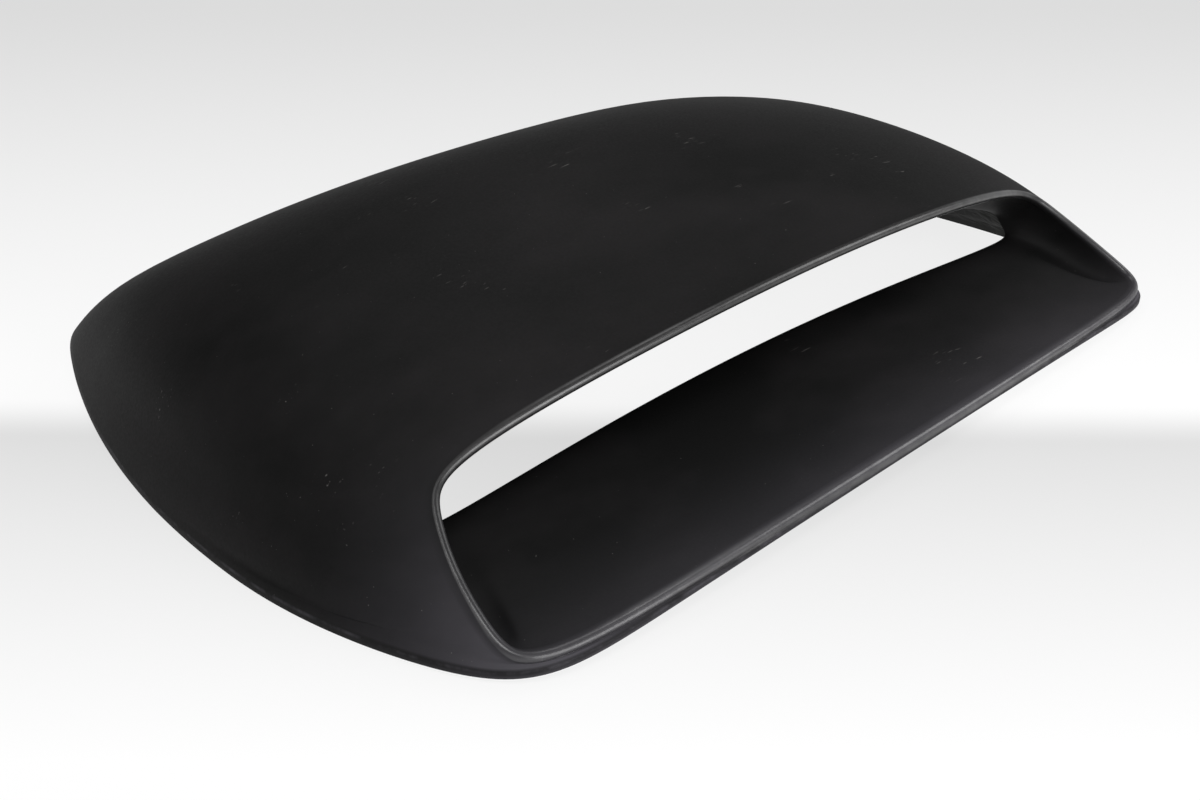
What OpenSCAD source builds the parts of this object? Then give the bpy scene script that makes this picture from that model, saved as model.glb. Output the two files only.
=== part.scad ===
// Bonnet scoop: one moulded fibreglass shell, open underneath, that sits on a car's bonnet.
// The mouth looks forward, along -Y. Air enters over the low front lip, runs along the duct
// floor and leaves through a wide slot into the hollow under the shell.
// X is across the car, +Y rearward, +Z up. The origin is under the middle of the base.

/* [Base outline] */
// Width over the base at its widest point
body_w = 640; // [600:5:680]
// Length of the base from the front edge to the rear edge, on the centre line
body_l = 485; // [460:5:515]
// Where the base is widest, as a share of the length from the front
widest_at = 0.355; // [0.32:0.005:0.4]
// How far each front corner lies inside the widest line
front_inset = 40; // [34:1:46]
// How far each rear corner lies inside the widest line
rear_inset = 68; // [60:1:76]
// How far the front edge runs back from its middle to the corners
front_bow = 7.5; // [5:0.5:10]
// How far the rear edge runs forward from its middle to the corners
rear_bow = 22; // [14:1:30]
// Squareness of the front corners in plan, larger is tighter
front_square = 17; // [14:1:20]
// Squareness of the rear corners in plan, larger is tighter
rear_square = 20; // [16:1:24]
// Rise of the base edge from the sides to the middle, to suit a crowned bonnet
bonnet_crown = 14; // [8:1:18]

/* [Shell] */
// Thickness of the moulded laminate
wall = 2; // [1.4:0.1:2.2]
// Height of the upright edge band at the front, in the middle
band_front = 1.6; // [1.2:0.1:2]
// Height of the upright edge band at the sides
band_side = 4.2; // [3.4:0.1:5]
// Height of the upright edge band at the rear
band_rear = 3; // [2.5:0.1:4]
// Slope at which the flanks leave the base
flank_angle = 46.5; // [43:0.5:50]
// Slope at which the tail leaves the base
tail_angle = 35; // [32:1:38]
// Fullness of the tail above the rear edge
tail_full = 0.74; // [0.68:0.01:0.78]
// Fullness of the top behind the upper lip
top_full = 0.28; // [0.24:0.01:0.34]
// Fullness of the flanks above the base
flank_full = 0.08; // [0.06:0.01:0.12]
// Fullness of the flanks beside the mouth
cheek_full = 0.38; // [0.34:0.01:0.42]

/* [Mouth] */
// Outer radius of the rolled lip round the mouth
lip_r = 2.6; // [2.4:0.1:3.2]
// How far the mouth's lower corners lie inside the widest line
mouth_low_inset = 40; // [37:1:44]
// How far the mouth's upper corners lie inside the widest line
mouth_top_inset = 64; // [60:0.5:70]
// Height of the lower lip's centre over the front edge of the base
lip_low_h = 3.5; // [3.1:0.1:4.4]
// How far the lower lip drops from its middle to its ends
lip_low_drop = 0.5; // [-0.5:0.1:1]
// How far the lower lip's ends run back behind the front edge
lip_low_back = 3.9; // [2:0.1:5]
// How far the upper lip stands back from the front edge, in the middle
mouth_back = 77; // [70:0.5:84]
// Height of the upper lip's centre over the lowest point of the base
mouth_h = 93.5; // [90:0.5:98]
// How far the upper lip drops from its middle to its ends
mouth_arch = 32; // [28:0.5:36]
// How far the upper lip's ends run back from its middle
mouth_sweep = 23.5; // [18:0.5:28]
// Backward bulge of the mouth's side edges
mouth_bulge = 7; // [4:0.5:10]
// How far the middle of its sides bows outward
mouth_out = 7.5; // [4:0.5:9]
// Squareness of the mouth's lower corners
mouth_low_square = 10.2; // [8:0.2:12]
// Squareness of the mouth's upper corners
mouth_top_square = 8.6; // [6:0.2:10]

/* [Slot behind the duct] */
// How far each end of the slot lies inside the widest line
slot_inset = 59; // [56:1:66]
// Distance of the floor's rear edge behind the front edge, in the middle
slot_floor_back = 123; // [114:1:130]
// Height of the floor's rear edge
slot_floor_h = 24; // [22:0.5:27]
// How far the floor's rear edge drops from its middle to its ends
slot_floor_drop = 3; // [0:0.5:5]
// How far the ends of the floor's rear edge run forward
slot_floor_sweep = 16; // [10:1:20]
// Distance of the duct roof's rear edge behind the front edge, in the middle
slot_roof_back = 129; // [122:1:136]
// How far the duct roof's rear edge lies below the upper lip's centre
slot_roof_below = 15.5; // [13:0.5:18]
// How far the duct roof's rear edge drops from its middle to its ends
slot_roof_arch = 36.5; // [32:0.5:39]
// How far the ends of the duct roof's rear edge run forward
slot_roof_sweep = 5; // [0:1:9]
// Squareness of the slot's corners
slot_square = 6.5; // [5:0.5:8]

/* [Hidden] */

// Half sizes that the loops use
half_w = body_w / 2;
half_front = half_w - front_inset;
half_rear = half_w - rear_inset;
half_mouth_low = half_w - mouth_low_inset;
half_mouth_top = half_w - mouth_top_inset;
half_slot = half_w - slot_inset;
slot_roof_h = mouth_h - slot_roof_below;

// Angles of the lip's roll: where the skin meets it and where the duct leaves it,
// at the front middle, at the sides and at the top
roll_out = [45, 48, 88];
roll_in = [50, 88, 88];
// Angle of the lip's nose above level, at the front middle, the sides and the top
nose = [45, 16, -5];
// Slope of the skin's foot at the front middle, where it is only a few millimetres tall
front_angle = 85;
// Tangent lengths at the front middle, as a share of the distance spanned
front_full = 0.3;
// Span from which the skin meets the lip with its whole fullness; shorter spans have less
long_span = 120;
// Direction in which the duct reaches the slot: [inward, rearward, upward]
floor_end = [0, 1, -0.05];
side_end = [0.12, 1, -0.06];
roof_end = [0, 1, -0.22];
duct_full = 0.33;

// Mesh steps round the loop, up the skin, round the lip and along the duct
around = 96;
skin_steps = 11;
lip_steps = 8;
duct_steps = 8;
// Crowding of the steps towards the four corners of each loop
crowd = 0.55;

// Station angles round every loop: 0 at the front middle, 90 at the right side,
// 180 at the rear middle
station = [for (i = [0 : around - 1]) let (t = 360 * i / around)
    t + crowd / 4 * sin(4 * t) * 180 / PI];

function unit(v) = v / norm(v);
function mix3(a, q) = let (c = cos(q))
    a[1] + (c > 0 ? (a[0] - a[1]) * c * c : (a[2] - a[1]) * c * c);

// A rounded square of side 2, more or less square at the front and at the rear:
// u runs across, v from the front at -1 to the rear at 1
function rounded(front, rear, q) = let (
    n = (front + rear) / 2 + (front - rear) / 2 * cos(q),
    s = sin(q), c = cos(q),
    k = pow(pow(abs(s), n) + pow(abs(c), n), -1 / n)) [s * k, -c * k];

// Half width of the base outline, bowed outward between the corners
widest_v = 2 * widest_at - 1;
function half_width(v) = v < widest_v
    ? half_w - (half_w - half_front) * pow((widest_v - v) / (1 + widest_v), 2)
    : half_w - (half_w - half_rear) * pow((v - widest_v) / (1 - widest_v), 2);

// Height of the bonnet under the base edge
function crown_z(x) = bonnet_crown * (1 - pow(x / half_w, 2));

// Base edge
function base_pt(q) = let (p = rounded(front_square, rear_square, q), u = p[0], v = p[1],
    x = u * half_width(v))
    [x, body_l / 2 * v + (v < 0 ? -front_bow * u * u * v : -rear_bow * u * u * v), crown_z(x)];

// Centre line of the rolled lip round the mouth
function lip_pt(q) = let (p = rounded(mouth_low_square, mouth_top_square, q),
    u = p[0], s = (1 + p[1]) / 2,
    x = u * (half_mouth_low + (half_mouth_top - half_mouth_low) * s + mouth_out * 4 * s * (1 - s)),
    y_low = lip_r + (front_bow + lip_low_back) * u * u,
    y_top = mouth_back + mouth_sweep * u * u,
    z_low = crown_z(x) + lip_low_h - lip_low_drop * u * u,
    z_top = mouth_h - mouth_arch * u * u)
    [x, -body_l / 2 + y_low + (y_top - y_low) * s + mouth_bulge * 4 * s * (1 - s),
     z_low + (z_top - z_low) * s];

// Edge of the slot at the rear of the duct
function slot_pt(q) = let (p = rounded(slot_square, slot_square, q),
    u = p[0], s = (1 + p[1]) / 2,
    y_low = slot_floor_back - slot_floor_sweep * u * u,
    y_top = slot_roof_back - slot_roof_sweep * u * u,
    z_low = slot_floor_h - slot_floor_drop * u * u,
    z_top = slot_roof_h - slot_roof_arch * u * u)
    [u * half_slot, -body_l / 2 + y_low + (y_top - y_low) * s, z_low + (z_top - z_low) * s];

base_loop = [for (q = station) base_pt(q)];
lip_loop = [for (q = station) lip_pt(q)];
slot_loop = [for (q = station) slot_pt(q)];

// Frame of the lip at each station: along the lip, forward over the nose, outward
function wrap(i) = (i + around) % around;
lip_along = [for (i = [0 : around - 1]) unit(lip_loop[wrap(i + 1)] - lip_loop[wrap(i - 1)])];
lip_nose = [for (i = [0 : around - 1]) let (a = mix3(nose, station[i]),
    n = [0, -cos(a), sin(a)]) unit(n - (n * lip_along[i]) * lip_along[i])];
lip_out = [for (i = [0 : around - 1]) cross(lip_along[i], lip_nose[i])];

function roll_pt(i, w) = lip_loop[i] + lip_r * (cos(w) * lip_nose[i] + sin(w) * lip_out[i]);
function roll_dir(i, w) = sin(w) * lip_nose[i] - cos(w) * lip_out[i];

function bezier(a, b, c, d, t) = pow(1 - t, 3) * a + 3 * pow(1 - t, 2) * t * b
    + 3 * (1 - t) * t * t * c + pow(t, 3) * d;

// One closed section of the outer surface: edge band, skin, lip roll, duct
function outer_section(i) = let (
    q = station[i],
    foot = base_loop[i] + [0, 0, mix3([band_front, band_side, band_rear], q)],
    w0 = mix3(roll_out, q), w1 = -mix3(roll_in, q),
    top = roll_pt(i, w0),
    span = norm(top - foot),
    level = unit([lip_loop[i][0] - foot[0], lip_loop[i][1] - foot[1], 0]),
    rise = mix3([front_angle, flank_angle, tail_angle], q),
    leave = cos(rise) * level + [0, 0, sin(rise)],
    c1 = foot + leave * span * mix3([front_full, flank_full, tail_full], q),
    c2 = top - roll_dir(i, w0) * span * min(1, span / long_span)
        * mix3([front_full, cheek_full, top_full], q),
    inner = roll_pt(i, w1),
    slot = slot_loop[i],
    run = norm(slot - inner),
    e = mix3([floor_end, side_end, roof_end], q),
    reach = unit([-sign(slot[0]) * e[0], e[1], e[2]]),
    d1 = inner + roll_dir(i, w1) * run * duct_full,
    d2 = slot - reach * run * duct_full)
    [base_loop[i],
     for (k = [0 : skin_steps]) bezier(foot, c1, c2, top, k / skin_steps),
     for (k = [1 : lip_steps]) roll_pt(i, w0 + (w1 - w0) * k / lip_steps),
     for (k = [1 : duct_steps]) bezier(inner, d1, d2, slot, k / duct_steps)];

outer = [for (i = [0 : around - 1]) outer_section(i)];
rings = len(outer[0]);

// The inner surface lies one wall inside, square to the outer one. Where the skin is low,
// its direction turns more evenly from the edge band's to the lip's.
tall = 60;
function across(i, j) = cross(
    outer[i][min(j + 1, rings - 1)] - outer[i][max(j - 1, 0)],
    outer[wrap(i + 1)][j] - outer[wrap(i - 1)][j]);
function band_in(i) = unit(cross([0, 0, 1], base_loop[wrap(i + 1)] - base_loop[wrap(i - 1)]));
function roll_in_dir(i, w) = -cos(w) * lip_nose[i] - sin(w) * lip_out[i];
function roll_angle(i, k) = let (w0 = mix3(roll_out, station[i]),
    w1 = -mix3(roll_in, station[i])) w0 + (w1 - w0) * k / lip_steps;
function skin_in(i, j) = let (t = (j - 1) / skin_steps,
    f = min(1, norm(outer[i][1 + skin_steps] - outer[i][1]) / tall),
    even = unit((1 - t) * band_in(i) + t * roll_in_dir(i, roll_angle(i, 0))))
    unit(f * unit(across(i, j)) + (1 - f) * even);
function inward(i, j) = j == 0 ? band_in(i)
    : j <= skin_steps ? skin_in(i, j)
    : j <= skin_steps + 1 + lip_steps ? roll_in_dir(i, roll_angle(i, j - 1 - skin_steps))
    : unit(across(i, j));
inside = [for (i = [0 : around - 1]) [for (j = [0 : rings - 1])
    outer[i][j] + wall * inward(i, j)]];

module shell() {
    sides = 2 * rings;
    pts = [for (i = [0 : around - 1])
        each [for (j = [0 : rings - 1]) outer[i][j],
              for (j = [rings - 1 : -1 : 0]) inside[i][j]]];
    faces = [for (i = [0 : around - 1]) for (j = [0 : sides - 1]) let (
        a = i * sides + j, b = i * sides + (j + 1) % sides,
        c = wrap(i + 1) * sides + (j + 1) % sides, d = wrap(i + 1) * sides + j)
        each [[a, b, c], [a, c, d]]];
    polyhedron(points = pts, faces = faces, convexity = 8);
}

module scoop_shell() {
    color([0.09, 0.09, 0.09]) shell();
}

scoop_shell();
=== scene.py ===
"""A bonnet scoop in black gelcoat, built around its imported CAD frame.

One moulding: a closed section is carried round the mouth, from the base edge
over the skin and the rolled lip into the duct, and then gets its wall.
"""

import math

import bpy
import numpy as np
from bpy.props import (FloatProperty, FloatVectorProperty, IntProperty,
                       PointerProperty)
from bpy.types import Operator, Panel, PropertyGroup
from mathutils import Euler, Matrix, Vector


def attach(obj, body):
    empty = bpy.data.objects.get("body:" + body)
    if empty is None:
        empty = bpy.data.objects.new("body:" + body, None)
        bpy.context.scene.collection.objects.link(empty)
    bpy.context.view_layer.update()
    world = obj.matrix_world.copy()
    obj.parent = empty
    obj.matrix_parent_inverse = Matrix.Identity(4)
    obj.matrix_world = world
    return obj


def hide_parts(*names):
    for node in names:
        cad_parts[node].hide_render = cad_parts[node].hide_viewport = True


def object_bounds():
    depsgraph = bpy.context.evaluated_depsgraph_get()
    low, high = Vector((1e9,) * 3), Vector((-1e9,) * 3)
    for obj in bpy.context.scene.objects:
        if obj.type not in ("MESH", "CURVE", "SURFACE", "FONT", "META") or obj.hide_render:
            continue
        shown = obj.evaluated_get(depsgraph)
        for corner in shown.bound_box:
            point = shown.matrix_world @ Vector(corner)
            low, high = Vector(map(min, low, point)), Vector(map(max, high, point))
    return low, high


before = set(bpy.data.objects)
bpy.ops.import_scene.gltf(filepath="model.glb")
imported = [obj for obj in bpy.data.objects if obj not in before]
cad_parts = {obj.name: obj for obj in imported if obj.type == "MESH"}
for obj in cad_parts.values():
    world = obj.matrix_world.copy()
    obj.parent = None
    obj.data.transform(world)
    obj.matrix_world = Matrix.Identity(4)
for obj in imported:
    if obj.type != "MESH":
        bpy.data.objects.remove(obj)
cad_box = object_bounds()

bl_info = {
    "name": "Bonnet Scoop",
    "version": (1, 0, 0),
    "blender": (4, 5, 0),
    "location": "View3D > Sidebar > Scoop",
    "description": "Builds a bonnet scoop with its studio",
    "category": "Add Mesh",
}

SAME_POINT = 1e-6              # metres within which the loft's points are merged
SHARP = math.radians(35)       # edges bent by more than this are trimmed
FEWEST_FACES = 1000            # a shell with fewer is a failed loft
FILM_WIDTH = 36                # millimetres
LAMP_REACH = 1.6               # metres from the scoop to each softbox
# Radius and height, in metres, of the rings of the floor, whose rim turns up
FLOOR_RINGS = ((0.9, 0.0), (1.8, 0.0), (2.7, 0.0), (3.4, 0.02), (3.7, 0.1),
               (3.9, 0.26), (4.0, 0.5), (4.0, 0.95))
FLOOR_SIDES = 96
# Settings of nodes
PLUS = {"operation": "ADD"}
MINUS = {"operation": "SUBTRACT"}
TIMES = {"operation": "MULTIPLY"}
OVER = {"operation": "DIVIDE"}
TIMES_PLUS = {"operation": "MULTIPLY_ADD"}
POWER = {"operation": "POWER"}
LARGER = {"operation": "MAXIMUM"}
ABOVE = {"operation": "GREATER_THAN"}
SCALE = {"operation": "SCALE"}
BLEND = {"data_type": "VECTOR", "clamp_factor": False}
COLOURS = {"data_type": "RGBA"}
SMOOTH = {"interpolation_type": "SMOOTHSTEP"}


# Properties

def length(label, mm, about):
    """A length, written in millimetres and held in metres."""
    return FloatProperty(name=label, description=about, default=mm / 1000,
                         unit="LENGTH", precision=4)


def share(label, value, about):
    """A bare ratio."""
    return FloatProperty(name=label, description=about, default=value,
                         subtype="FACTOR", precision=3)


def power(label, value, about):
    """How square a rounded corner is: 2 is round, and more is squarer."""
    return FloatProperty(name=label, description=about, default=value,
                         precision=1)


def turn(label, degrees, about):
    """An angle, written in degrees."""
    return FloatProperty(name=label, description=about,
                         default=math.radians(degrees), subtype="ANGLE")


def linear(code):
    """The linear colour of an sRGB hex code."""
    parts = [int(code[i:i + 2], 16) / 255 for i in (1, 3, 5)]
    return [c / 12.92 if c <= 0.04045 else ((c + 0.055) / 1.055) ** 2.4
            for c in parts]


def paint(label, code, about):
    """A colour, written as an sRGB hex code."""
    return FloatVectorProperty(name=label, description=about, size=3,
                               default=linear(code), subtype="COLOR",
                               min=0, max=1)


class ScoopSizes(PropertyGroup):
    """Sizes of the moulding."""

    width: length("Width", 640, "Overall width of the base outline")
    depth: length("Length", 485, "Front to rear in the middle")
    widest: share("Widest point", 0.355, "Where the outline is widest, from the front")
    front_inset: length("Front inset", 40, "How far the front corners stand in")
    rear_inset: length("Rear inset", 68, "How far the rear corners stand in")
    front_bow: length("Front bow", 7.5, "How far the front edge bows forward")
    rear_bow: length("Rear bow", 22, "How far the rear edge bows rearward")
    front_square: power("Front squareness", 17, "Power of the front corners")
    rear_square: power("Rear squareness", 20, "Power of the rear corners")
    crown: length("Bonnet crown", 14, "Rise of the base edge in the middle")
    wall: length("Wall", 2, "Thickness of the laminate")
    band_front: length("Front band", 1.6, "Upright edge under the lip")
    band_side: length("Side band", 4.2, "Upright edge along the flanks")
    band_rear: length("Rear band", 3, "Upright edge along the tail")
    flank_angle: turn("Flank angle", 46.5, "Slope of the flanks at their foot")
    tail_angle: turn("Tail angle", 35, "Slope of the tail at its foot")
    flank_full: share("Flank fullness", 0.08, "How long the flanks stay straight")
    cheek_full: share("Cheek fullness", 0.38, "How full the skin meets the lip's sides")
    tail_full: share("Tail fullness", 0.74, "How long the tail stays straight")
    top_full: share("Top fullness", 0.28, "How full the top meets the lip")
    lip: length("Lip radius", 2.6, "Outer radius of the rolled lip")
    mouth_low_inset: length("Mouth foot inset", 40, "Flank to mouth at the base")
    mouth_top_inset: length("Mouth top inset", 64, "Flank to mouth at the top")
    lip_low: length("Lower lip height", 3.5, "Lower lip over the bonnet")
    lip_low_drop: length("Lower lip drop", 0.5, "Fall of the lower lip to its ends")
    lip_low_back: length("Lower lip sweep", 3.9, "How far its ends run rearward")
    mouth_back: length("Upper lip setback", 77, "Upper lip behind the front edge")
    mouth_height: length("Mouth height", 93.5, "Upper lip's centre over the base")
    mouth_arch: length("Mouth arch", 32, "Fall of the upper lip to its ends")
    mouth_sweep: length("Mouth sweep", 23.5, "How far its ends run rearward")
    mouth_bulge: length("Mouth bulge", 7, "Rearward bow of the mouth's sides")
    mouth_out: length("Mouth bow", 7.5, "Outward bow of the mouth's sides")
    mouth_low_square: power("Mouth foot squareness", 10.2, "Power of the lower corners")
    mouth_top_square: power("Mouth top squareness", 8.6, "Power of the upper corners")
    slot_inset: length("Slot inset", 59, "Flank to the slot's ends")
    floor_back: length("Floor depth", 123, "Front edge to the floor's rear edge")
    floor_height: length("Floor height", 24, "Floor's rear edge over the base")
    floor_drop: length("Floor drop", 3, "Fall of the floor's edge to its ends")
    floor_sweep: length("Floor sweep", 16, "How far its ends come forward")
    roof_back: length("Roof depth", 129, "Front edge to the roof's rear edge")
    roof_below: length("Roof step", 15.5, "Roof's rear edge below the upper lip")
    roof_arch: length("Roof arch", 36.5, "Fall of the roof's edge to its ends")
    roof_sweep: length("Roof sweep", 5, "How far its ends come forward")
    slot_square: power("Slot squareness", 6.5, "Power of the slot's corners")
    trim: length("Trimmed edge", 0.5, "Radius of the trimmed edges")
    stations: IntProperty(name="Stations", description="Sections round the mouth",
                          default=384)
    skin_steps: IntProperty(name="Skin steps", description="Rings up the skin",
                            default=52)
    lip_steps: IntProperty(name="Lip steps", description="Rings round the lip",
                           default=14)
    duct_steps: IntProperty(name="Duct steps", description="Rings along the duct",
                            default=26)


class ScoopFinish(PropertyGroup):
    """Colours of the moulding."""

    gelcoat: paint("Gelcoat", "#0e0e0e", "Black gelcoat on the moulded face")
    haze: paint("Haze", "#232122", "Wiped dust and rubbed patches")
    # The rubbed colour is painted light. It paints the highlight on the front corner, the
    # lit front of the duct floor and the highlight along the edge band's upper edge
    rubbed: paint("Rubbed", "#5c5a60", "Fine scratches towards the front edge")
    speck: paint("Specks", "#6a6866", "Dust and fine marks on the surface")
    laminate: paint("Laminate", "#0d0e0d", "Resin over glass mat on the underside")
    strand: paint("Strands", "#1b1c19", "Glass strands near the resin's surface")


class ScoopStudio(PropertyGroup):
    """Camera, lamps and floor."""

    heading: turn("Heading", -45.731, "Way the camera looks, from the car's rear")
    elevation: turn("Elevation", 27.948, "How far the camera looks down")
    roll: turn("Roll", 0.321, "Tilt of the camera")
    place: FloatVectorProperty(name="Camera", description="Where the camera stands",
                               default=(-0.56929, -0.55008, 0.36409),
                               subtype="XYZ", unit="LENGTH", precision=5)
    lens: FloatProperty(name="Lens", description="Focal length in millimetres",
                        default=40.855)
    board: paint("Board", "#ffffff", "Board right behind and before the scoop")
    # Colour of the painted shade on the board
    shade: paint("Shaded board", "#e1e1e1", "Board at its far end and under the scoop")
    sky: FloatProperty(name="Room light", description="Level of the whole room",
                       default=0.04)
    front: FloatProperty(name="Front lamp", description="Power in watts",
                         default=15, subtype="POWER")
    above: FloatProperty(name="Lamp over the camera", description="Power in watts",
                         default=9, subtype="POWER")
    left: FloatProperty(name="Left lamp", description="Power in watts",
                        default=3.5, subtype="POWER")
    rear: FloatProperty(name="Rear lamp", description="Power in watts",
                        default=6, subtype="POWER")
    right: FloatProperty(name="Right lamp", description="Power in watts",
                         default=7.5, subtype="POWER")


# Helpers

def add(tree, kind, settings=None, **inputs):
    """Adds a node, sets it up, and links or sets its inputs.

    An input goes by its name, or by its number as i0, i1 and so on. A node
    given for an input is linked from its first output in use.
    """
    made = tree.nodes.new(kind)
    for key, value in (settings or {}).items():
        setattr(made, key, value)
    for key, value in inputs.items():
        numbered = key[0] == "i" and key[1:].isdigit()
        socket = made.inputs[int(key[1:]) if numbered else key.replace("_", " ")]
        if isinstance(value, bpy.types.Node):
            value = next(output for output in value.outputs if output.enabled)
        if isinstance(value, bpy.types.NodeSocket):
            tree.links.new(value, socket)
        else:
            socket.default_value = value
    return made


def plain_mesh(obj, name):
    """The object's evaluated shape as a plain mesh object at the origin."""
    graph = bpy.context.evaluated_depsgraph_get()
    mesh = bpy.data.meshes.new_from_object(obj.evaluated_get(graph))
    made = bpy.data.objects.new(name, mesh)
    mesh.name = name
    bpy.context.scene.collection.objects.link(made)
    bpy.data.objects.remove(obj)
    return made


# Shell's rails

# Directions in degrees, at the front middle, the sides and the top of the mouth
ROLL_OUT = (45, 48, 88)        # where the skin meets the lip's roll
ROLL_IN = (50, 88, 88)         # where the duct leaves it
NOSE = (45, 16, -5)            # rise of the lip's nose above level
# The skin's start at the front, where it is short and steep
FRONT_ANGLE = math.radians(85)
FRONT_FULL = 0.3
LONG_SPAN = 0.120              # metres of skin from which the brow is full
# How the duct comes to the floor, the ends and the roof of the slot
FLOOR_END = (0, 1, -0.05)
SIDE_END = (0.12, 1, -0.06)
ROOF_END = (0, 1, -0.22)
DUCT_FULL = 0.33               # how long the duct keeps its way at either end
CROWD = 0.55                   # crowding of stations towards the corners


def unit(arrows):
    """The same directions at length 1."""
    return arrows / np.linalg.norm(arrows, axis=-1, keepdims=True)


def rails(s):
    """The guide points and directions of every section round the mouth.

    They are worked out from the scoop's sizes, s, in metres.
    """
    # Angle of each station from the front middle, crowded towards the corners
    even = 2 * np.pi * np.arange(s.stations) / s.stations
    angle = even + CROWD / 4 * np.sin(4 * even)
    sine, cosine = np.sin(angle), np.cos(angle)

    def round_mouth(front, side, top):
        """Blends a value from the front middle over the sides to the top."""
        front, side, top = (np.asarray(v, float) for v in (front, side, top))
        ahead = cosine ** 2 if front.ndim == 0 else (cosine ** 2)[:, None]
        before = cosine > 0 if front.ndim == 0 else (cosine > 0)[:, None]
        return side + ahead * np.where(before, front - side, top - side)

    def rounded(front, rear):
        """A rounded square from -1 to 1 with its own squareness at each end."""
        square = (front + rear) / 2 + (front - rear) / 2 * cosine
        reach = (abs(sine) ** square + abs(cosine) ** square) ** (-1 / square)
        return sine * reach, -cosine * reach

    def bonnet(x):
        """Height of the crowned bonnet."""
        return s.crown * (1 - (x / half) ** 2)

    half = s.width / 2
    widest = 2 * s.widest - 1

    # Base edge: u runs across the car and v rearward
    u, v = rounded(s.front_square, s.rear_square)
    wide = np.where(v < widest,
                    half - s.front_inset * ((widest - v) / (1 + widest)) ** 2,
                    half - s.rear_inset * ((v - widest) / (1 - widest)) ** 2)
    x = u * wide
    y = s.depth / 2 * v - np.where(v < 0, s.front_bow, s.rear_bow) * u * u * v
    base = np.stack([x, y, bonnet(x)], -1)

    # Centre line of the lip: v runs from the lower lip up to the upper one
    u, v = rounded(s.mouth_low_square, s.mouth_top_square)
    up = (1 + v) / 2
    x = u * (half - s.mouth_low_inset
             + (s.mouth_low_inset - s.mouth_top_inset) * up
             + s.mouth_out * 4 * up * (1 - up))
    y_low = s.lip + (s.front_bow + s.lip_low_back) * u * u
    y_top = s.mouth_back + s.mouth_sweep * u * u
    z_low = bonnet(x) + s.lip_low - s.lip_low_drop * u * u
    z_top = s.mouth_height - s.mouth_arch * u * u
    lip = np.stack([x, -s.depth / 2 + y_low + (y_top - y_low) * up
                    + s.mouth_bulge * 4 * up * (1 - up),
                    z_low + (z_top - z_low) * up], -1)

    # Edge of the slot: v runs from the duct's floor up to its roof
    u, v = rounded(s.slot_square, s.slot_square)
    up = (1 + v) / 2
    y_low = s.floor_back - s.floor_sweep * u * u
    y_top = s.roof_back - s.roof_sweep * u * u
    z_low = s.floor_height - s.floor_drop * u * u
    z_top = s.mouth_height - s.roof_below - s.roof_arch * u * u
    slot = np.stack([u * (half - s.slot_inset),
                     -s.depth / 2 + y_low + (y_top - y_low) * up,
                     z_low + (z_top - z_low) * up], -1)

    # Frame of the lip: forward over the nose, and outward
    along = unit(np.roll(lip, -1, 0) - np.roll(lip, 1, 0))
    rise = np.radians(round_mouth(*NOSE))
    nose = np.stack([0 * rise, -np.cos(rise), np.sin(rise)], -1)
    nose = unit(nose - (nose * along).sum(-1, keepdims=True) * along)
    out = np.cross(along, nose)
    roll_out = np.radians(round_mouth(*ROLL_OUT))
    roll_in = -np.radians(round_mouth(*ROLL_IN))

    def on_lip(roll):
        """Points on the lip, at an angle from its nose."""
        return lip + s.lip * (np.cos(roll)[:, None] * nose
                              + np.sin(roll)[:, None] * out)

    def round_lip(roll):
        """The way round the lip there, over the nose into the duct."""
        return np.sin(roll)[:, None] * nose - np.cos(roll)[:, None] * out

    # Skin from the edge band to the lip
    band = round_mouth(s.band_front, s.band_side, s.band_rear)
    foot = base + np.stack([0 * band, 0 * band, band], -1)
    top = on_lip(roll_out)
    span = np.linalg.norm(top - foot, axis=1, keepdims=True)
    level = unit((lip - foot) * (1, 1, 0))
    slope = round_mouth(FRONT_ANGLE, s.flank_angle, s.tail_angle)[:, None]
    leave = np.cos(slope) * level + np.sin(slope) * np.array([0, 0, 1.0])
    knee = foot + leave * span * round_mouth(
        FRONT_FULL, s.flank_full, s.tail_full)[:, None]
    brow = top - round_lip(roll_out) * span * np.minimum(1, span / LONG_SPAN) \
        * round_mouth(FRONT_FULL, s.cheek_full, s.top_full)[:, None]

    # Duct from the lip to the slot
    throat = on_lip(roll_in)
    run = np.linalg.norm(slot - throat, axis=1, keepdims=True)
    end = round_mouth(FLOOR_END, SIDE_END, ROOF_END)
    end = unit(np.stack([-np.sign(slot[:, 0]) * end[:, 0], end[:, 1], end[:, 2]], -1))
    enter = throat + round_lip(roll_in) * run * DUCT_FULL
    reach = slot - end * run * DUCT_FULL

    return {"base": base, "foot": foot, "knee": knee, "brow": brow, "top": top,
            "lip": lip, "nose": nose, "out": out, "throat": throat,
            "enter": enter, "reach": reach, "slot": slot,
            "roll_out": roll_out, "roll_in": roll_in}


def guide_object(s):
    """One point for each section, carrying that section's guides."""
    guides = rails(s)
    mesh = bpy.data.meshes.new("section_guides")
    mesh.from_pydata([tuple(p) for p in guides["lip"]], [], [])
    for name, values in guides.items():
        if values.ndim == 2:
            layer = mesh.attributes.new(name, "FLOAT_VECTOR", "POINT")
            layer.data.foreach_set("vector", values.astype(np.float32).ravel())
        else:
            layer = mesh.attributes.new(name, "FLOAT", "POINT")
            layer.data.foreach_set("value", values.astype(np.float32))
    obj = bpy.data.objects.new("section_guides", mesh)
    bpy.context.scene.collection.objects.link(obj)
    return obj


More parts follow.
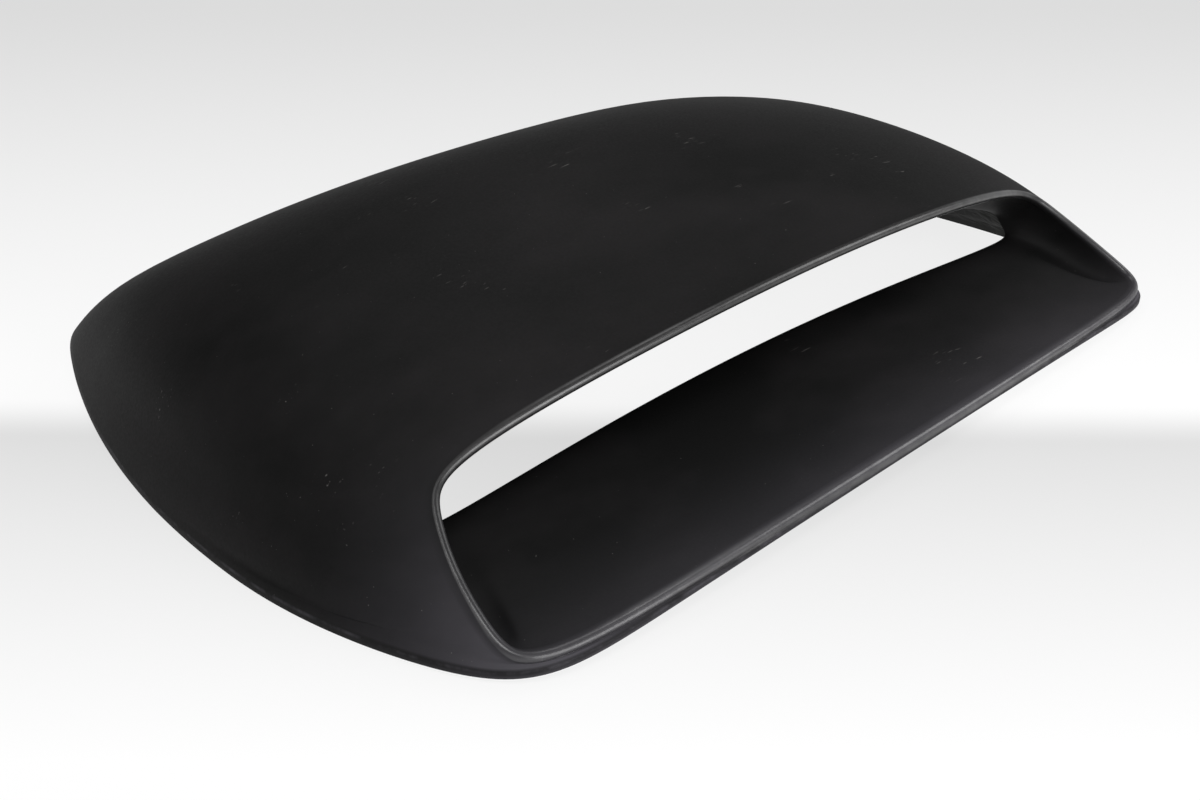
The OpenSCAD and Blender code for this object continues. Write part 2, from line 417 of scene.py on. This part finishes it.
def loft_tree():
    """Geometry Nodes that carry the section round the mouth."""
    tree = bpy.data.node_groups.new("scoop loft", "GeometryNodeTree")
    face = tree.interface
    face.new_socket("Geometry", in_out="INPUT", socket_type="NodeSocketGeometry")
    for name in ("Stations", "Skin steps", "Lip steps", "Duct steps"):
        face.new_socket(name, in_out="INPUT", socket_type="NodeSocketInt")
    face.new_socket("Lip radius", in_out="INPUT", socket_type="NodeSocketFloat")
    face.new_socket("Finish", in_out="INPUT", socket_type="NodeSocketMaterial")
    face.new_socket("Geometry", in_out="OUTPUT", socket_type="NodeSocketGeometry")
    given = add(tree, "NodeGroupInput").outputs

    # A grid with one row for each ring and one column for each section
    before_lip = add(tree, "ShaderNodeMath", PLUS, i0=given["Skin steps"], i1=1.0)
    before_duct = add(tree, "ShaderNodeMath", PLUS, i0=before_lip,
                      i1=given["Lip steps"])
    last = add(tree, "ShaderNodeMath", PLUS, i0=before_duct, i1=given["Duct steps"])
    rows = add(tree, "ShaderNodeMath", PLUS, i0=last, i1=1.0)
    columns = add(tree, "ShaderNodeMath", PLUS, i0=given["Stations"], i1=1.0)
    grid = add(tree, "GeometryNodeMeshGrid", Vertices_X=rows, Vertices_Y=columns)

    # The ring and the section of a point, from its index. Half a step more keeps
    # the division off the whole numbers, and the last column is section 0 again
    index = add(tree, "GeometryNodeInputIndex")
    middle = add(tree, "ShaderNodeMath", PLUS, i0=index, i1=0.5)
    ring = add(tree, "ShaderNodeMath", OVER, i0=middle, i1=columns)
    ring = add(tree, "ShaderNodeMath", {"operation": "FLOOR"}, i0=ring)
    passed = add(tree, "ShaderNodeMath", TIMES, i0=ring, i1=columns)
    column = add(tree, "ShaderNodeMath", MINUS, i0=index, i1=passed)
    column = add(tree, "ShaderNodeMath", {"operation": "ROUND"}, i0=column)
    section = add(tree, "ShaderNodeMath", {"operation": "MODULO"}, i0=column,
                  i1=given["Stations"])

    def guide(name, kind="FLOAT_VECTOR"):
        """The named guide of the section that a point belongs to."""
        held = add(tree, "GeometryNodeInputNamedAttribute", {"data_type": kind},
                   Name=name)
        return add(tree, "GeometryNodeSampleIndex",
                   {"data_type": kind, "domain": "POINT"},
                   Geometry=given["Geometry"], Value=held, Index=section)

    def progress(before, steps):
        """How far a point's ring is along a part of the section, from 0 to 1."""
        past = add(tree, "ShaderNodeMath", MINUS, i0=ring, i1=before)
        return add(tree, "ShaderNodeMath", OVER, i0=past, i1=given[steps])

    def bezier(names, along):
        """A curve over four guides, by blending neighbours until one is left."""
        points = [guide(name) for name in names]
        while len(points) > 1:
            points = [add(tree, "ShaderNodeMix", BLEND, i0=along, i4=a, i5=b)
                      for a, b in zip(points, points[1:])]
        return points[0]

    skin = bezier(("foot", "knee", "brow", "top"), progress(1.0, "Skin steps"))

    # Lip, an arc about its centre line
    start, stop = guide("roll_out", "FLOAT"), guide("roll_in", "FLOAT")
    angle = add(tree, "ShaderNodeMath", MINUS, i0=stop, i1=start)
    angle = add(tree, "ShaderNodeMath", TIMES, i0=progress(before_lip, "Lip steps"),
                i1=angle)
    angle = add(tree, "ShaderNodeMath", PLUS, i0=start, i1=angle)
    reaches = []
    for way, work in (("nose", "COSINE"), ("out", "SINE")):
        reach = add(tree, "ShaderNodeMath", {"operation": work}, i0=angle)
        reach = add(tree, "ShaderNodeMath", TIMES, i0=reach, i1=given["Lip radius"])
        reaches.append(add(tree, "ShaderNodeVectorMath", SCALE, i0=guide(way),
                           i3=reach))
    arc = add(tree, "ShaderNodeVectorMath", PLUS, i0=reaches[0], i1=reaches[1])
    lip = add(tree, "ShaderNodeVectorMath", PLUS, i0=guide("lip"), i1=arc)

    duct = bezier(("throat", "enter", "reach", "slot"),
                  progress(before_duct, "Duct steps"))

    # The first ring is the base edge, and each part takes over in its turn, the
    # duct last
    place = guide("base")
    for before, part in ((0.5, skin), (before_lip, lip), (before_duct, duct)):
        past = add(tree, "ShaderNodeMath", ABOVE, i0=ring, i1=before)
        place = add(tree, "GeometryNodeSwitch", {"input_type": "VECTOR"}, i0=past,
                    i1=place, i2=part)
    in_duct = past
    shape = add(tree, "GeometryNodeSetPosition", Geometry=grid, Position=place)

    # For the finish: how far a point lies from the lip and from the skin's foot,
    # and whether it lies in the duct
    from_lip, from_foot = (
        add(tree, "ShaderNodeVectorMath", {"operation": "DISTANCE"}, i0=place,
            i1=guide(name)) for name in ("lip", "foot"))
    for name, value in (("from_lip", from_lip), ("from_foot", from_foot),
                        ("in_duct", in_duct)):
        shape = add(tree, "GeometryNodeStoreNamedAttribute",
                    {"data_type": "FLOAT", "domain": "POINT"}, Geometry=shape,
                    Name=name, Value=value)

    shape = add(tree, "GeometryNodeMergeByDistance", Geometry=shape,
                Distance=SAME_POINT)
    shape = add(tree, "GeometryNodeFlipFaces", Mesh=shape)
    shape = add(tree, "GeometryNodeSetShadeSmooth", Geometry=shape)
    shape = add(tree, "GeometryNodeRealizeInstances", Geometry=shape)
    shape = add(tree, "GeometryNodeSetMaterial", Geometry=shape,
                Material=given["Finish"])
    add(tree, "NodeGroupOutput", Geometry=shape)
    return tree


def run_tree(obj, tree, values):
    """Puts the tree on the object with its named inputs set."""
    modifier = obj.modifiers.new(tree.name, "NODES")
    modifier.node_group = tree
    for item in tree.interface.items_tree:
        if item.item_type == "SOCKET" and item.in_out == "INPUT" \
                and item.name in values:
            modifier[item.identifier] = values[item.name]


# Materials

def surface(name):
    """A new empty material, its tree and its object coordinates."""
    made = bpy.data.materials.new(name)
    made.use_nodes = True
    tree = made.node_tree
    tree.nodes.clear()
    return made, tree, add(tree, "ShaderNodeTexCoord").outputs["Object"]


def waves(mm):
    """Texture scale that repeats about every so many millimetres."""
    return 1000 / mm


def black_gelcoat(finish):
    """Polyester gelcoat from a mould, rubbed down to an even, nearly matt satin.

    It gives a deep black whose reflections are wide and faint. The lip, which
    hands and cloths polish first, has a shine of its own; fine dust lies on
    the whole, and the glass mat prints through as a very slight unevenness.
    """
    made, tree, where = surface("black_gelcoat")
    spot = add(tree, "ShaderNodeSeparateXYZ", Vector=where).outputs
    from_lip, from_foot, in_duct = (
        add(tree, "ShaderNodeAttribute", {"attribute_name": name}).outputs["Fac"]
        for name in ("from_lip", "from_foot", "in_duct"))

    # Wiped dust: broad clouds, drawn out across the car by the cloth
    wiped = add(tree, "ShaderNodeMapping", Vector=where, Scale=(0.6, 1.0, 1.4))
    patch = add(tree, "ShaderNodeTexNoise", Vector=wiped, Scale=waves(85),
                Detail=4.0, Roughness=0.6)
    cloud = add(tree, "ShaderNodeMapRange", Value=patch, From_Min=0.42,
                From_Max=0.78, To_Max=0.6)
    colour = add(tree, "ShaderNodeMix", COLOURS, i0=cloud, i6=(*finish.gelcoat, 1),
                 i7=(*finish.haze, 1))

    # Painted light: the front is painted greyer. This is a painted highlight on the skin's
    # front corner, and painted light on the lit front of the duct floor that fades
    # rearward into the duct's shade. In the duct this starts 57 mm further forward, and up
    # the skin, on the lip and on the edge band it is less
    ahead = add(tree, "ShaderNodeMath", TIMES_PLUS, i0=in_duct, i1=0.057,
                i2=spot["Y"])
    ahead = add(tree, "ShaderNodeMapRange", Value=ahead, From_Min=-0.10,
                From_Max=-0.243)
    painted_front_light = add(tree, "ShaderNodeMath", POWER, i0=ahead, i1=2.5)
    for reason, low, high, at_low, at_high in (
            (spot["Z"], 0.055, 0.085, 1.0, 0.0),
            (from_lip, 0.0026, 0.005, 0.45, 1.0),
            (from_foot, 0.001, 0.004, 0.2, 1.0),
            (patch, 0.3, 0.7, 0.7, 1.0)):
        held = add(tree, "ShaderNodeMapRange", Value=reason, From_Min=low,
                   From_Max=high, To_Min=at_low, To_Max=at_high)
        painted_front_light = add(tree, "ShaderNodeMath", TIMES, i0=painted_front_light, i1=held)
    colour = add(tree, "ShaderNodeMix", COLOURS, i0=painted_front_light, i6=colour,
                 i7=(*finish.rubbed, 1))

    # Painted highlight: the upper edge of the edge band is painted lighter in places, as a
    # broken highlight line along the chine
    edge = add(tree, "ShaderNodeMapRange", Value=from_foot, From_Min=0.0003,
               From_Max=0.0016, To_Min=0.5, To_Max=0.0)
    through = add(tree, "ShaderNodeTexNoise", Vector=where, Scale=waves(16),
                  Detail=4.0, Roughness=0.7)
    through = add(tree, "ShaderNodeMapRange", Value=through, From_Min=0.42,
                  From_Max=0.75)
    edge = add(tree, "ShaderNodeMath", TIMES, i0=edge, i1=through)
    colour = add(tree, "ShaderNodeMix", COLOURS, i0=edge, i6=colour,
                 i7=(*finish.rubbed, 1))

    # Scuffs: short, light streaks in a few places, from handling and stacking
    streaks = 0.0
    for angle in (0.5, 2.2):
        laid = add(tree, "ShaderNodeMapping", Vector=where,
                   Rotation=(0.0, 0.0, angle), Scale=(0.09, 1.0, 1.0))
        streak = add(tree, "ShaderNodeTexNoise", Vector=laid, Scale=waves(1.6),
                     Detail=1.0)
        streak = add(tree, "ShaderNodeMapRange", Value=streak, From_Min=0.7,
                     From_Max=0.78)
        streaks = add(tree, "ShaderNodeMath", LARGER, i0=streaks, i1=streak)
    places = add(tree, "ShaderNodeTexNoise", Vector=where, Scale=waves(38),
                 Detail=1.0)
    places = add(tree, "ShaderNodeMapRange", Value=places, From_Min=0.64,
                 From_Max=0.7, To_Max=0.5)
    scuffs = add(tree, "ShaderNodeMath", TIMES, i0=streaks, i1=places)
    colour = add(tree, "ShaderNodeMix", COLOURS, i0=scuffs, i6=colour,
                 i7=(*finish.speck, 1))

    # Specks: points of dust in some cells of a few millimetres only, bent a little
    # out of round, and about half a millimetre wide so that they show
    for mm, size, empty in ((7, 0.05, 0.72), (3.2, 0.07, 0.8)):
        bend = add(tree, "ShaderNodeTexNoise", Vector=where, Scale=waves(mm))
        bend = add(tree, "ShaderNodeVectorMath", SCALE, i0=bend.outputs["Color"],
                   i3=mm / 1500)
        bent = add(tree, "ShaderNodeVectorMath", PLUS, i0=where, i1=bend)
        cell = add(tree, "ShaderNodeTexVoronoi", Vector=bent, Scale=waves(mm))
        chance = add(tree, "ShaderNodeSeparateColor", Color=cell.outputs["Color"])
        dot = add(tree, "ShaderNodeMapRange", Value=cell.outputs["Distance"],
                  From_Min=size * 0.5, From_Max=size, To_Min=1.0, To_Max=0.0)
        kept = add(tree, "ShaderNodeMapRange", Value=chance, From_Min=empty,
                   To_Max=0.9)
        dot = add(tree, "ShaderNodeMath", TIMES, i0=dot, i1=kept)
        colour = add(tree, "ShaderNodeMix", COLOURS, i0=dot, i6=colour,
                     i7=(*finish.speck, 1))

    # Rubbing: fine grain and broad patches change the gloss a little
    grain = add(tree, "ShaderNodeTexNoise", Vector=where, Scale=waves(1.6))
    grain = add(tree, "ShaderNodeMath", PLUS, i0=patch, i1=grain)
    rough = add(tree, "ShaderNodeMapRange", Value=grain, From_Min=0.7,
                From_Max=1.4, To_Min=0.58, To_Max=0.72)

    # Shine: the lip alone, narrowest and weakest along the flanks, a little wider
    # on the duct's side, and uneven all along
    side = add(tree, "ShaderNodeMath", {"operation": "ABSOLUTE"}, i0=spot["X"])
    side = add(tree, "ShaderNodeMapRange", Value=side, From_Min=0.22,
               From_Max=0.25)
    reach = add(tree, "ShaderNodeMapRange", Value=side, To_Min=0.0038,
                To_Max=0.0029)
    reach = add(tree, "ShaderNodeMath", TIMES_PLUS, i0=in_duct, i1=0.0008, i2=reach)
    shine = add(tree, "ShaderNodeMapRange", SMOOTH, Value=from_lip,
                From_Min=0.0026, From_Max=reach, To_Min=1.0, To_Max=0.0)
    worn = add(tree, "ShaderNodeTexNoise", Vector=where, Scale=waves(12),
               Detail=3.0, Roughness=0.6)
    worn = add(tree, "ShaderNodeMapRange", Value=worn, From_Min=0.3, From_Max=0.6,
               To_Min=0.7)
    shine = add(tree, "ShaderNodeMath", TIMES, i0=shine, i1=worn)
    weaker = add(tree, "ShaderNodeMapRange", Value=side, To_Min=1.0, To_Max=0.65)
    shine = add(tree, "ShaderNodeMath", TIMES, i0=shine, i1=weaker)

    # Print-through of the mat, about 14 mm apart, and the gelcoat's own peel
    mat = add(tree, "ShaderNodeTexNoise", Vector=where, Scale=waves(14), Detail=1.0)
    mat = add(tree, "ShaderNodeBump", Strength=0.5, Distance=0.0002, Height=mat)
    peel = add(tree, "ShaderNodeTexNoise", Vector=where, Scale=waves(2.2),
               Detail=1.0)
    peel = add(tree, "ShaderNodeBump", Strength=0.4, Distance=0.00004, Height=peel,
               Normal=mat)

    shader = add(tree, "ShaderNodeBsdfPrincipled", Base_Color=colour,
                 Roughness=rough, IOR=1.5, Specular_IOR_Level=0.1, Normal=peel,
                 Coat_Weight=shine, Coat_Roughness=0.33, Coat_IOR=1.7)
    add(tree, "ShaderNodeOutputMaterial", Surface=shader)
    return made


def mat_laminate(finish):
    """Chopped-strand glass mat laid by hand in black resin, left as rolled.

    The underside looks uneven and a little wet: strands of about 22 mm by 1.6 mm
    cross each other under a resin that has pooled between them and dulled.
    """
    made, tree, where = surface("mat_laminate")
    # Strands in three directions, drawn wider than real ones so that they show
    strands = 0.0
    for angle, shift in ((0.0, 0.0), (1.05, 3.1), (2.09, 7.7)):
        laid = add(tree, "ShaderNodeMapping", Vector=where,
                   Rotation=(0.0, 0.0, angle), Location=(shift, shift, 0.0),
                   Scale=(waves(1.6), waves(22), waves(22)))
        strand = add(tree, "ShaderNodeTexNoise", Vector=laid, Scale=1.0,
                     Distortion=0.6)
        strands = add(tree, "ShaderNodeMath", LARGER, i0=strands, i1=strand)
    shown = add(tree, "ShaderNodeMapRange", Value=strands, From_Min=0.52,
                From_Max=0.75)
    colour = add(tree, "ShaderNodeMix", COLOURS, i0=shown, i6=(*finish.laminate, 1),
                 i7=(*finish.strand, 1))
    rough = add(tree, "ShaderNodeMapRange", Value=shown, To_Min=0.32, To_Max=0.55)
    pool = add(tree, "ShaderNodeTexNoise", Vector=where, Scale=waves(18))
    pool = add(tree, "ShaderNodeMath", TIMES_PLUS, i0=pool, i1=0.8, i2=shown)
    bump = add(tree, "ShaderNodeBump", Strength=0.8, Distance=0.0006, Height=pool)
    shader = add(tree, "ShaderNodeBsdfPrincipled", Base_Color=colour,
                 Roughness=rough, IOR=1.55, Specular_IOR_Level=0.2, Normal=bump)
    add(tree, "ShaderNodeOutputMaterial", Surface=shader)
    return made


def pale_floor(studio):
    """Matt white painted board with painted shade towards its far end and near the scoop,
    seen at its own colour with a soft shadow.
    """
    made, tree, where = surface("pale_floor")
    turned = add(tree, "ShaderNodeMapping", Vector=where,
                 Rotation=(0.0, 0.0, -studio.heading))
    away = add(tree, "ShaderNodeSeparateXYZ", Vector=turned).outputs["Y"]

    # Painted shade: the share of white along the way the camera looks. The far half is
    # painted darker towards its end, and the near half starts with painted shade under the
    # scoop and clears again
    far = add(tree, "ShaderNodeMapRange", Value=away, From_Min=-0.07,
              From_Max=0.98, To_Min=1.0, To_Max=0.0)
    far = add(tree, "ShaderNodeMath", POWER, i0=far, i1=1.6)
    near = add(tree, "ShaderNodeMapRange", Value=away, From_Min=-0.40,
               From_Max=-0.15, To_Min=1.0, To_Max=0.0)
    edge = add(tree, "ShaderNodeMapRange", SMOOTH, Value=away, From_Min=-0.155,
               From_Max=-0.105)
    white = add(tree, "ShaderNodeMix", i0=edge, i2=near, i3=far)
    colour = add(tree, "ShaderNodeMix", COLOURS, i0=white, i6=(*studio.shade, 1),
                 i7=(*studio.board, 1))
    lit = add(tree, "ShaderNodeBsdfPrincipled", Base_Color=colour, Roughness=0.9,
              Specular_IOR_Level=0.2)

    # The camera, mirrors and glass see the board's own colour over its lighting
    path = add(tree, "ShaderNodeLightPath").outputs
    seen = path["Is Camera Ray"]
    for ray in ("Is Glossy Ray", "Is Transmission Ray"):
        seen = add(tree, "ShaderNodeMath", LARGER, i0=seen, i1=path[ray])
    seen = add(tree, "ShaderNodeMath", TIMES, i0=seen, i1=0.9)
    glow = add(tree, "ShaderNodeEmission", Color=colour, Strength=1.0)
    mixed = add(tree, "ShaderNodeMixShader", i0=seen, i1=lit, i2=glow)
    add(tree, "ShaderNodeOutputMaterial", Surface=mixed)
    return made


# Operators

class SCOOP_OT_shell(Operator):
    """Lofts the moulding, gives it its wall and its trimmed edges"""

    bl_idname = "scoop.shell"
    bl_label = "Scoop shell"

    def execute(self, context):
        s, finish = context.scene.scoop_sizes, context.scene.scoop_finish
        gelcoat, laminate = black_gelcoat(finish), mat_laminate(finish)
        skin = guide_object(s)
        run_tree(skin, loft_tree(), {
            "Stations": s.stations, "Skin steps": s.skin_steps,
            "Lip steps": s.lip_steps, "Duct steps": s.duct_steps,
            "Lip radius": s.lip, "Finish": gelcoat})
        skin = plain_mesh(skin, "shell_skin")
        skin.data.materials.append(laminate)
        wall = skin.modifiers.new("wall", "SOLIDIFY")
        wall.thickness = s.wall
        wall.offset = -1.0
        wall.use_even_offset = True
        wall.material_offset = 1
        edge = skin.modifiers.new("trimmed edges", "BEVEL")
        edge.width = s.trim
        edge.segments = 2
        edge.limit_method = "ANGLE"
        edge.angle_limit = SHARP
        shell = plain_mesh(skin, "scoop_moulding")
        if len(shell.data.polygons) < FEWEST_FACES:
            raise RuntimeError("the loft gave no shell")
        # The smooth crown stands half a millimetre over the frame's facets, so the
        # shell is pressed into the frame's box
        own = [max(point.co[axis] for point in shell.data.vertices)
               for axis in range(3)]
        press = [limit / reach for limit, reach in zip(cad_box[1], own)]
        shell.data.transform(Matrix.Diagonal((*press, 1)))
        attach(shell, "root")
        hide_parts("scoop_shell")
        return {"FINISHED"}


def lamp(name, way, rise, size, watts):
    """A square softbox turned to the scoop, so many degrees round from the rear."""
    data = bpy.data.lights.new(name, "AREA")
    data.shape = "SQUARE"
    data.size = size
    data.energy = watts
    obj = bpy.data.objects.new(name, data)
    turned = Euler((math.radians(90 - rise), 0, math.radians(180 - way)))
    obj.rotation_euler = turned
    obj.location = turned.to_matrix() @ Vector((0, 0, LAMP_REACH))
    obj.visible_camera = False
    bpy.context.scene.collection.objects.link(obj)


class SCOOP_OT_stage(Operator):
    """Lays the floor and sets the lamps, the room and the camera"""

    bl_idname = "scoop.stage"
    bl_label = "Studio"

    def execute(self, context):
        scene = context.scene
        studio = scene.scoop_studio
        # A floor whose rim turns up all round as a backdrop
        sides = range(FLOOR_SIDES)
        angles = [2 * math.pi * k / FLOOR_SIDES for k in sides]
        points = [(radius * math.cos(angle), radius * math.sin(angle), height)
                  for radius, height in FLOOR_RINGS for angle in angles]
        points.append((0.0, 0.0, 0.0))
        middle = len(points) - 1
        faces = [(middle, k, (k + 1) % FLOOR_SIDES) for k in sides]
        for ring in range(len(FLOOR_RINGS) - 1):
            for k in sides:
                a = ring * FLOOR_SIDES + k
                b = ring * FLOOR_SIDES + (k + 1) % FLOOR_SIDES
                faces.append((a, a + FLOOR_SIDES, b + FLOOR_SIDES, b))
        mesh = bpy.data.meshes.new("studio_floor")
        mesh.from_pydata(points, [], faces)
        mesh.polygons.foreach_set("use_smooth", [True] * len(faces))
        mesh.materials.append(pale_floor(studio))
        floor = bpy.data.objects.new("studio_floor", mesh)
        scene.collection.objects.link(floor)

        lamp("front_softbox", 180, 20, 0.9, studio.front)
        lamp("camera_softbox", 226, 55, 0.5, studio.above)
        lamp("left_softbox", 270, 42, 0.9, studio.left)
        lamp("rear_softbox", 35, 60, 0.9, studio.rear)
        lamp("right_softbox", 118, 38, 0.9, studio.right)

        world = bpy.data.worlds.new("room")
        world.use_nodes = True
        light = world.node_tree.nodes["Background"].inputs
        light["Color"].default_value = (1, 1, 1, 1)
        light["Strength"].default_value = studio.sky
        scene.world = world

        data = bpy.data.cameras.new("camera")
        data.sensor_width = FILM_WIDTH
        data.lens = studio.lens
        camera = bpy.data.objects.new("camera", data)
        look = Euler((math.pi / 2 - studio.elevation, 0, studio.heading)).to_matrix()
        camera.matrix_world = Matrix.Translation(studio.place) @ (
            look @ Matrix.Rotation(studio.roll, 3, "Z")).to_4x4()
        scene.collection.objects.link(camera)
        scene.camera = camera
        scene.view_settings.view_transform = "Standard"
        return {"FINISHED"}


class SCOOP_PT_panel(Panel):
    """Lists the scoop's operators and settings"""

    bl_label = "Bonnet Scoop"
    bl_idname = "SCOOP_PT_panel"
    bl_space_type = "VIEW_3D"
    bl_region_type = "UI"
    bl_category = "Scoop"

    def draw(self, context):
        layout = self.layout
        for cls in (SCOOP_OT_shell, SCOOP_OT_stage):
            layout.operator(cls.bl_idname)
        for group in (context.scene.scoop_sizes, context.scene.scoop_finish,
                      context.scene.scoop_studio):
            box = layout.box()
            for name in group.__annotations__:
                box.prop(group, name)


CLASSES = (ScoopSizes, ScoopFinish, ScoopStudio, SCOOP_OT_shell, SCOOP_OT_stage,
           SCOOP_PT_panel)


def register():
    for cls in CLASSES:
        bpy.utils.register_class(cls)
    bpy.types.Scene.scoop_sizes = PointerProperty(type=ScoopSizes)
    bpy.types.Scene.scoop_finish = PointerProperty(type=ScoopFinish)
    bpy.types.Scene.scoop_studio = PointerProperty(type=ScoopStudio)


def unregister():
    del bpy.types.Scene.scoop_studio
    del bpy.types.Scene.scoop_finish
    del bpy.types.Scene.scoop_sizes
    for cls in reversed(CLASSES):
        bpy.utils.unregister_class(cls)


def main():
    register()
    bpy.ops.scoop.stage()
    bpy.ops.scoop.shell()


if __name__ == "__main__":
    main()
